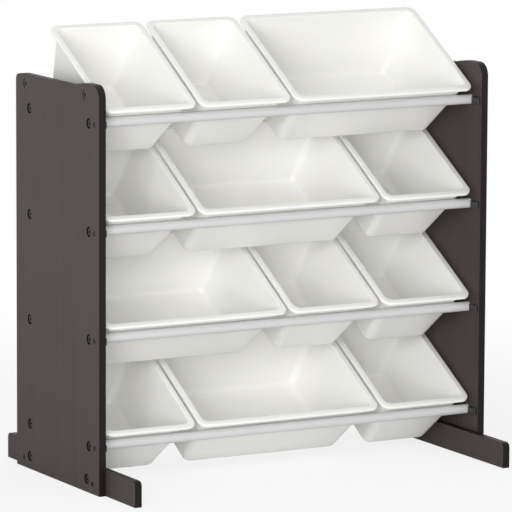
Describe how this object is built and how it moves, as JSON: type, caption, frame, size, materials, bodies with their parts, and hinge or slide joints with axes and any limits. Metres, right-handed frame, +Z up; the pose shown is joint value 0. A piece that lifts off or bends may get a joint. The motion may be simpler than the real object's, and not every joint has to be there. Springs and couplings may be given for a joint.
{
  "type": "toy storage organizer with bins",
  "caption": "Child's toy organizer: dark side boards on long floor feet, white rails between them and tilted lift-out white bins of a small and a large size in tiers.",
  "frame": {"origin": "on the floor, midway between the side boards and midway along the feet", "axes": "+X to the right seen from the open front, +Y towards the back, +Z up"},
  "size_m": [0.857, 0.55, 0.8744],
  "materials": {
    "dark_board": "satin dark brown foil",
    "white_rail": "satin white paint",
    "white_bin": "smooth, slightly translucent white",
    "black_fixing": "black",
    "black_cap": "black",
    "zinc_insert": "zinc plated"
  },
  "bodies": {
    "stand": {"side_panel_left": "dark_board", "side_panel_right": "dark_board", "foot_left": "dark_board", "foot_right": "dark_board", "front_rail_1": "white_rail", "front_rail_2": "white_rail", "front_rail_3": "white_rail", "front_rail_4": "white_rail", "back_rail_1": "white_rail", "back_rail_2": "white_rail", "back_rail_3": "white_rail", "back_rail_4": "white_rail", "rail_end_plugs": "zinc_insert", "rail_bolts": "black_fixing", "rail_stop_blocks": "black_cap", "stop_block_screws": "black_fixing", "foot_inserts": "zinc_insert", "foot_bolts": "black_fixing", "foot_screws": "black_fixing", "cover_caps": "black_cap"},
    "bin_1_left_body": {"bin_1_left": "white_bin"},
    "bin_1_middle_body": {"bin_1_middle": "white_bin"},
    "bin_1_right_body": {"bin_1_right": "white_bin"},
    "bin_2_left_body": {"bin_2_left": "white_bin"},
    "bin_2_middle_body": {"bin_2_middle": "white_bin"},
    "bin_2_right_body": {"bin_2_right": "white_bin"},
    "bin_3_left_body": {"bin_3_left": "white_bin"},
    "bin_3_middle_body": {"bin_3_middle": "white_bin"},
    "bin_3_right_body": {"bin_3_right": "white_bin"},
    "bin_4_left_body": {"bin_4_left": "white_bin"},
    "bin_4_middle_body": {"bin_4_middle": "white_bin"},
    "bin_4_right_body": {"bin_4_right": "white_bin"}
  },
  "joints": [
    {"name": "bin_1_left_lift", "type": "slide", "parent": "stand", "child": "bin_1_left_body", "axis": [0, -0.5, 0.866], "range_m": [0, 0.13]},
    {"name": "bin_1_middle_lift", "type": "slide", "parent": "stand", "child": "bin_1_middle_body", "axis": [0, -0.5, 0.866], "range_m": [0, 0.13]},
    {"name": "bin_1_right_lift", "type": "slide", "parent": "stand", "child": "bin_1_right_body", "axis": [0, -0.5, 0.866], "range_m": [0, 0.13]},
    {"name": "bin_2_left_lift", "type": "slide", "parent": "stand", "child": "bin_2_left_body", "axis": [0, -0.5, 0.866], "range_m": [0, 0.024]},
    {"name": "bin_2_middle_lift", "type": "slide", "parent": "stand", "child": "bin_2_middle_body", "axis": [0, -0.5, 0.866], "range_m": [0, 0.024]},
    {"name": "bin_2_right_lift", "type": "slide", "parent": "stand", "child": "bin_2_right_body", "axis": [0, -0.5, 0.866], "range_m": [0, 0.024]},
    {"name": "bin_3_left_lift", "type": "slide", "parent": "stand", "child": "bin_3_left_body", "axis": [0, -0.5, 0.866], "range_m": [0, 0.024]},
    {"name": "bin_3_middle_lift", "type": "slide", "parent": "stand", "child": "bin_3_middle_body", "axis": [0, -0.5, 0.866], "range_m": [0, 0.024]},
    {"name": "bin_3_right_lift", "type": "slide", "parent": "stand", "child": "bin_3_right_body", "axis": [0, -0.5, 0.866], "range_m": [0, 0.024]},
    {"name": "bin_4_left_lift", "type": "slide", "parent": "stand", "child": "bin_4_left_body", "axis": [0, -0.5, 0.866], "range_m": [0, 0.024]},
    {"name": "bin_4_middle_lift", "type": "slide", "parent": "stand", "child": "bin_4_middle_body", "axis": [0, -0.5, 0.866], "range_m": [0, 0.024]},
    {"name": "bin_4_right_lift", "type": "slide", "parent": "stand", "child": "bin_4_right_body", "axis": [0, -0.5, 0.866], "range_m": [0, 0.024]}
  ]
}
